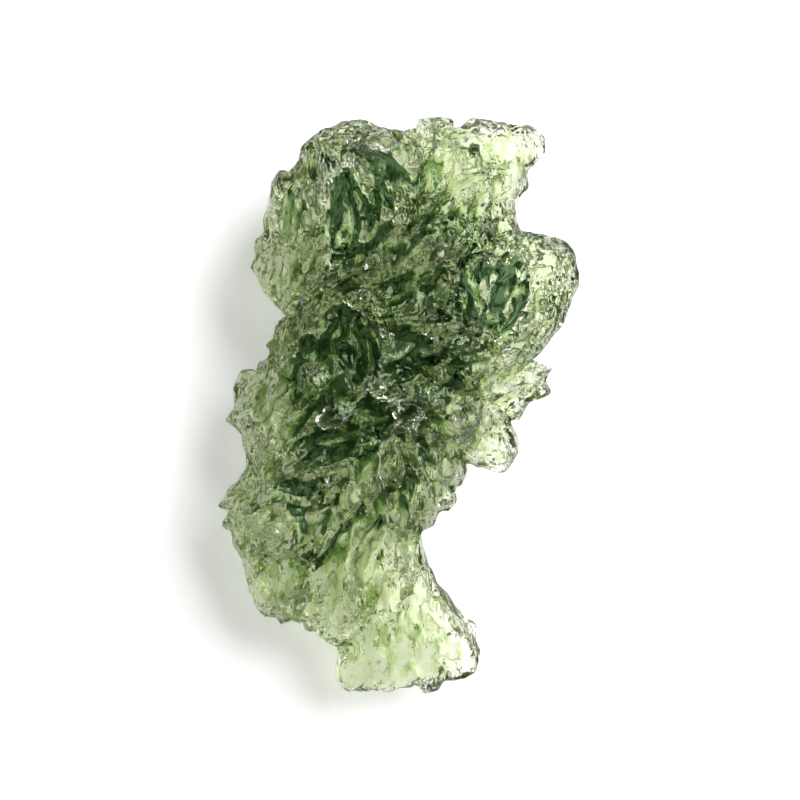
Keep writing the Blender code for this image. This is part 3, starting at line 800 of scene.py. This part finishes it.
def skin_tree(material):
    """A Geometry Nodes tree that lays small flat flakes on the stone, and gives it its material."""
    tree = bpy.data.node_groups.new("glass_skin", "GeometryNodeTree")
    tree.interface.new_socket("Geometry", in_out="INPUT", socket_type="NodeSocketGeometry")
    sizes = {
        "Flake Size": ("NodeSocketFloat", FLAKE_SIZE * MM),
        "Flake Depth": ("NodeSocketFloat", FLAKE_DEPTH * MM),
        "Flake Stretch": ("NodeSocketFloat", FLAKE_STRETCH),
        "Seed": ("NodeSocketInt", FINE_SEED),
    }
    for name, (kind, value) in sizes.items():
        tree.interface.new_socket(name, in_out="INPUT", socket_type=kind).default_value = value
    tree.interface.new_socket("Geometry", in_out="OUTPUT", socket_type="NodeSocketGeometry")
    given = new_node(tree, "NodeGroupInput", (-1200, 0))
    result = new_node(tree, "NodeGroupOutput", (1000, 0))
    place = new_node(tree, "GeometryNodeInputPosition", (-1200, -300)).outputs["Position"]
    normal = new_node(tree, "GeometryNodeInputNormal", (-400, -500)).outputs["Normal"]

    shrink = reckoned(tree, (-1400, -500), "DIVIDE", 1.0, given.outputs["Flake Stretch"])
    shape = new_node(tree, "ShaderNodeCombineXYZ", (-1200, -500))
    shape.inputs["X"].default_value = 1.0
    shape.inputs["Z"].default_value = 1.0
    tree.links.new(shrink, shape.inputs["Y"])
    shifted = new_node(tree, "ShaderNodeVectorMath", (-1000, -300), operation="MULTIPLY_ADD")
    tree.links.new(place, shifted.inputs[0])
    tree.links.new(shape.outputs["Vector"], shifted.inputs[1])
    tree.links.new(given.outputs["Seed"], shifted.inputs[2])
    scale = reckoned(tree, (-1000, -100), "DIVIDE", 1.0, given.outputs["Flake Size"])
    flakes = new_node(tree, "ShaderNodeTexVoronoi", (-700, -200), distance="MANHATTAN")
    tree.links.new(shifted.outputs["Vector"], flakes.inputs["Vector"])
    tree.links.new(scale, flakes.inputs["Scale"])
    level = reckoned(tree, (-500, -200), "SUBTRACT", flakes.outputs["Distance"], FLAKE_LEVEL)
    height = reckoned(tree, (-300, -200), "MULTIPLY", level, given.outputs["Flake Depth"])
    # The flake distance is kept on the mesh, where the material darkens the flakes' pits as painted shade.
    noted = new_node(tree, "GeometryNodeStoreNamedAttribute", (-100, 100), data_type="FLOAT")
    noted.inputs["Name"].default_value = "flake"
    tree.links.new(given.outputs["Geometry"], noted.inputs["Geometry"])
    tree.links.new(flakes.outputs["Distance"], noted.inputs["Value"])
    offset = new_node(tree, "ShaderNodeVectorMath", (-100, -300), operation="SCALE")
    tree.links.new(normal, offset.inputs[0])
    tree.links.new(height, offset.inputs["Scale"])
    moved = new_node(tree, "GeometryNodeSetPosition", (200, 0))
    tree.links.new(noted.outputs["Geometry"], moved.inputs["Geometry"])
    tree.links.new(offset.outputs["Vector"], moved.inputs["Offset"])
    painted = new_node(tree, "GeometryNodeSetMaterial", (500, 0))
    painted.inputs["Material"].default_value = material
    tree.links.new(moved.outputs["Geometry"], painted.inputs["Geometry"])
    real = new_node(tree, "GeometryNodeRealizeInstances", (750, 0))
    tree.links.new(painted.outputs["Geometry"], real.inputs["Geometry"])
    tree.links.new(real.outputs["Geometry"], result.inputs["Geometry"])
    return tree


def plain_mesh_of(rough, material, sizes):
    """The rough mesh with its skin laid on and its flat flakes merged, as a plain mesh without modifiers."""
    shaper = bpy.data.objects.new("stone_shaper", rough)
    bpy.context.scene.collection.objects.link(shaper)
    skin = shaper.modifiers.new("skin", "NODES")
    skin.node_group = skin_tree(material)
    values = {
        "Flake Size": sizes.flake_size,
        "Flake Depth": sizes.flake_depth,
        "Flake Stretch": sizes.flake_stretch,
        "Seed": sizes.fine_seed,
    }
    for socket in skin.node_group.interface.items_tree:
        if socket.name in values:
            skin[socket.identifier] = values[socket.name]
    merging = shaper.modifiers.new("merging", "DECIMATE")
    triangles = sum(len(face.vertices) - 2 for face in rough.polygons)
    merging.ratio = min(1.0, sizes.triangles / triangles)
    graph = bpy.context.evaluated_depsgraph_get()
    mesh = bpy.data.meshes.new_from_object(shaper.evaluated_get(graph), depsgraph=graph)
    bpy.data.objects.remove(shaper)
    return mesh


def length(name, description, default, least):
    """A length property, its default and its least value given in millimetres."""
    return FloatProperty(
        name=name,
        description=description,
        default=default * MM,
        min=least * MM,
        subtype="DISTANCE",
        unit="LENGTH",
        precision=5,
    )


def tint(name, description, default):
    """A colour property."""
    return FloatVectorProperty(
        name=name, description=description, default=default, size=3, min=0.0, max=1.0, subtype="COLOR"
    )


def span(name, description, default):
    """A property of two numbers, from where something starts to where it is strongest."""
    return FloatVectorProperty(name=name, description=description, default=default, size=2, min=0.0)


class StoneSizes(bpy.types.PropertyGroup):
    """Sizes of the stone's mesh."""

    grid_step: length("Grid Step", "Side of a cell of the grid that the stone is sculpted in", 0.14, 0.1)
    fine_seed: IntProperty(
        name="Fine Etching Seed",
        description="Seed of the finest round of pits and of the flakes",
        default=FINE_SEED,
        min=0,
    )
    flake_size: length("Flake Size", "Breadth of the flat flakes of the skin", FLAKE_SIZE, 0.2)
    flake_depth: length(
        "Flake Depth",
        "Height of the flakes over the creases between them",
        FLAKE_DEPTH,
        0.0,
    )
    flake_stretch: FloatProperty(
        name="Flake Stretch",
        description="How many times longer than broad the flakes are",
        default=FLAKE_STRETCH,
        min=1.0,
    )
    triangles: IntProperty(
        name="Triangles",
        description="Count of triangles left once flat stretches are merged",
        default=190000,
        min=1000,
    )


class GlassLook(bpy.types.PropertyGroup):
    """Colour and clearness of the glass, and the painted shade and painted highlights in its base colour."""

    # Tints of the painted shade: a painted highlight on crests, then flanks, then painted shade in folds and
    # deep gaps.
    crest_highlight_tint: tint("Crest Tint", "Tint that light takes on a fin's crest", (1.0, 1.0, 0.96))
    flank_shade_tint: tint("Flank Tint", "Tint that light takes on the flanks below it", (0.7, 0.82, 0.46))
    fold_shade_tint: tint("Fold Tint", "Tint that light takes in the folds between fins", (0.16, 0.3, 0.07))
    gap_shade_tint: tint("Gap Tint", "Tint that light takes at the bottom of deep gaps", (0.019, 0.05, 0.02))
    gap_span: span(
        "Gap Span",
        "Shares of glass round a place at which a gap starts and is deepest",
        (0.32, 0.6),
    )
    crease_span: span(
        "Crease Span",
        "Shares of glass close round a place at which a crease starts and is sharpest",
        (0.42, 0.68),
    )
    crest_span: span(
        "Crest Span",
        "Shares of glass close round a place at which a crest starts and is sharpest",
        (0.43, 0.29),
    )
    # Painted highlight on crests.
    crest_share: FloatProperty(
        name="Crest Share",
        description="How much crests lighten the glass, also in deep hollows",
        default=0.8,
        min=0.0,
    )
    darkest: FloatProperty(
        name="Darkest",
        description="Most shade that gaps, creases and hollows give together, before crests lighten it",
        default=1.3,
        min=0.0,
    )
    # Painted shade in gaps.
    gap_share: FloatProperty(
        name="Gap Share",
        description="How much gaps darken the glass",
        default=1.45,
        min=0.0,
    )
    # Painted shade in creases.
    crease_share: FloatProperty(
        name="Crease Share",
        description="How much creases darken the glass",
        default=0.8,
        min=0.0,
    )
    thin_share: FloatProperty(
        name="Thin Share",
        description="How much of that darkening is left where the stone is thin",
        default=0.24,
        min=0.0,
        max=1.0,
    )
    # Painted shade in the pits of the flakes.
    flake_share: FloatProperty(
        name="Flake Share",
        description="How much the pits of the flakes darken the glass",
        default=0.45,
        min=0.0,
    )
    ridge_level: FloatProperty(
        name="Ridge Level",
        description="Distance from a flake's middle, in flakes, beyond which it counts as a ridge",
        default=0.7,
        min=0.0,
    )
    line_span: span(
        "Line Span",
        "Distances from a flake's middle, in flakes, at which the line starts and is darkest",
        (1.0, 1.25),
    )
    # Painted shade along the lines between flakes of thin glass.
    line_share: FloatProperty(
        name="Line Share",
        description="How much the lines between flakes darken thin glass",
        default=0.3,
        min=0.0,
    )
    flake_stretch: FloatProperty(
        name="Flake Stretch",
        description="How many times longer than broad the finest flakes are",
        default=FLAKE_STRETCH,
        min=1.0,
    )
    # Painted shade in deep hollows.
    sunk_share: FloatProperty(
        name="Sunk Share",
        description="How much deep hollows darken the glass",
        default=1.5,
        min=0.0,
    )
    patch_scale: FloatProperty(
        name="Patch Scale",
        description="Scale of the noise that makes the skin uneven, per metre",
        default=450.0,
        min=0.0,
    )
    flake_scale: FloatProperty(
        name="Flake Scale",
        description="Scale of the finest flakes, per metre",
        default=1900.0,
        min=0.0,
    )
    flake_strength: FloatProperty(
        name="Flake Strength",
        description="Strength of the finest flakes",
        default=0.4,
        min=0.0,
        max=1.0,
    )
    flake_depth: length("Flake Depth", "Height of the finest flakes", 0.15, 0.0)
    depth_colour: tint("Depth Colour", "Colour that the glass lets through", (0.49, 0.58, 0.21))
    depth_density: FloatProperty(
        name="Depth Density",
        description="How fast the glass darkens with depth, per metre",
        default=158.0,
        min=0.0,
    )
    gleam_tint: tint("Gleam Tint", "Tint of what the skin mirrors", (0.5, 0.7, 0.4))
    roughness: FloatProperty(name="Roughness", description="Softness of the skin", default=0.16, min=0.0)
    refraction: FloatProperty(name="Refraction", description="Index of refraction", default=1.49, min=1.0)


class STONE_OT_sculpt(bpy.types.Operator):
    """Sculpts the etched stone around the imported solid"""

    bl_idname = "stone.sculpt"
    bl_label = "Sculpt Stone"

    def execute(self, context):
        sizes = context.scene.stone_sizes
        step = sizes.grid_step / MM
        field, origin = stone_field(step, sizes.fine_seed)
        points, quads = surface_of(field, origin, step)
        points = sharpen_crests(points, quads)
        rough = bpy.data.meshes.new("rough_stone")
        rough.from_pydata((points * MM).tolist(), [], quads.tolist())
        bm = bmesh.new()
        bm.from_mesh(rough)
        keep_largest_body(bm)
        if bm.calc_volume(signed=True) < 0:
            bmesh.ops.reverse_faces(bm, faces=bm.faces)
        bm.to_mesh(rough)
        bm.free()
        mesh = plain_mesh_of(rough, glass_material(context.scene.glass_look), sizes)
        bpy.data.meshes.remove(rough)
        mesh.name = "moldavite_stone"
        places = np.empty(3 * len(mesh.vertices))
        mesh.vertices.foreach_get("co", places)
        places = places.reshape(-1, 3) / MM
        places[places[:, 2] < FLAT_SNAP, 2] = 0.0
        mesh.vertices.foreach_set("co", (places * MM).ravel())
        # Measures of the shape kept on the mesh, which the material turns into painted shade and painted
        # highlights.
        wall, sunk = wall_and_depth(places)
        facts = {
            "crease": glass_round(field, origin, step, places, CREASE_REACH),
            "gap": glass_round(field, origin, step, places, GAP_REACH),
            "wall": wall,
            "sunk": sunk,
        }
        for name, values in facts.items():
            mesh.attributes.new(name, "FLOAT", "POINT").data.foreach_set("value", values)
        mesh.shade_smooth()
        mesh.set_sharp_from_angle(angle=math.radians(CREST_ANGLE))
        stone = bpy.data.objects.new("moldavite_stone", mesh)
        context.scene.collection.objects.link(stone)
        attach(stone, "root")
        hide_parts("moldavite")
        return {"FINISHED"}


class STONE_OT_stage(bpy.types.Operator):
    """Lays the pale table and sets the lights and the camera"""

    bl_idname = "stone.stage"
    bl_label = "Set Stage"

    def execute(self, context):
        scene = context.scene
        half, low = TABLE_HALF, -TABLE_DROP
        mesh = bpy.data.meshes.new("table")
        corners = [(-half, -half, low), (half, -half, low), (half, half, low), (-half, half, low)]
        mesh.from_pydata(corners, [], [(0, 1, 2, 3)])
        white = bpy.data.materials.new("table_white")
        white.use_nodes = True
        surface = white.node_tree.nodes["Principled BSDF"]
        surface.inputs["Base Color"].default_value = TABLE_WHITE
        surface.inputs["Roughness"].default_value = TABLE_ROUGHNESS
        surface.inputs["Emission Color"].default_value = TABLE_WHITE
        surface.inputs["Emission Strength"].default_value = TABLE_GLOW
        mesh.materials.append(white)
        table = bpy.data.objects.new("table", mesh)
        scene.collection.objects.link(table)
        world = bpy.data.worlds.new("studio")
        world.use_nodes = True
        dome = world.node_tree.nodes["Background"]
        dome.inputs["Color"].default_value = DOME_COLOUR
        dome.inputs["Strength"].default_value = DOME_STRENGTH
        scene.world = world
        lamp = bpy.data.lights.new("key", "AREA")
        lamp.energy = KEY_POWER
        lamp.size = KEY_SIDE
        key = bpy.data.objects.new("key", lamp)
        key.location = KEY_PLACE
        key.rotation_mode = "QUATERNION"
        key.rotation_quaternion = key.location.to_track_quat("Z", "Y")
        scene.collection.objects.link(key)
        data = bpy.data.cameras.new("camera")
        camera = bpy.data.objects.new("camera", data)
        across = PHOTO_SIDE_PX * MM_PER_PX * MM
        data.lens = data.sensor_width * CAMERA_GAP / across
        data.clip_start, data.clip_end = CAMERA_REACH
        middle = PHOTO_SIDE_PX / 2
        x, y = from_photo(middle, middle)
        camera.location = (float(x) * MM, float(y) * MM, SHARP_HEIGHT + CAMERA_GAP)
        scene.collection.objects.link(camera)
        scene.camera = camera
        scene.view_settings.view_transform = "Standard"
        return {"FINISHED"}


class STONE_PT_panel(bpy.types.Panel):
    """Lists the steps in the sidebar"""

    bl_label = "Moldavite"
    bl_idname = "STONE_PT_panel"
    bl_space_type = "VIEW_3D"
    bl_region_type = "UI"
    bl_category = "Moldavite"

    def draw(self, context):
        layout = self.layout
        for group in (context.scene.stone_sizes, context.scene.glass_look):
            for name in group.__annotations__:
                layout.prop(group, name)
        layout.operator("stone.sculpt")
        layout.operator("stone.stage")


CLASSES = (StoneSizes, GlassLook, STONE_OT_sculpt, STONE_OT_stage, STONE_PT_panel)


def register():
    for kind in CLASSES:
        bpy.utils.register_class(kind)
    bpy.types.Scene.stone_sizes = PointerProperty(type=StoneSizes)
    bpy.types.Scene.glass_look = PointerProperty(type=GlassLook)


def unregister():
    del bpy.types.Scene.glass_look
    del bpy.types.Scene.stone_sizes
    for kind in reversed(CLASSES):
        bpy.utils.unregister_class(kind)


def main():
    register()
    bpy.ops.stone.stage()
    bpy.ops.stone.sculpt()


if __name__ == "__main__":
    main()
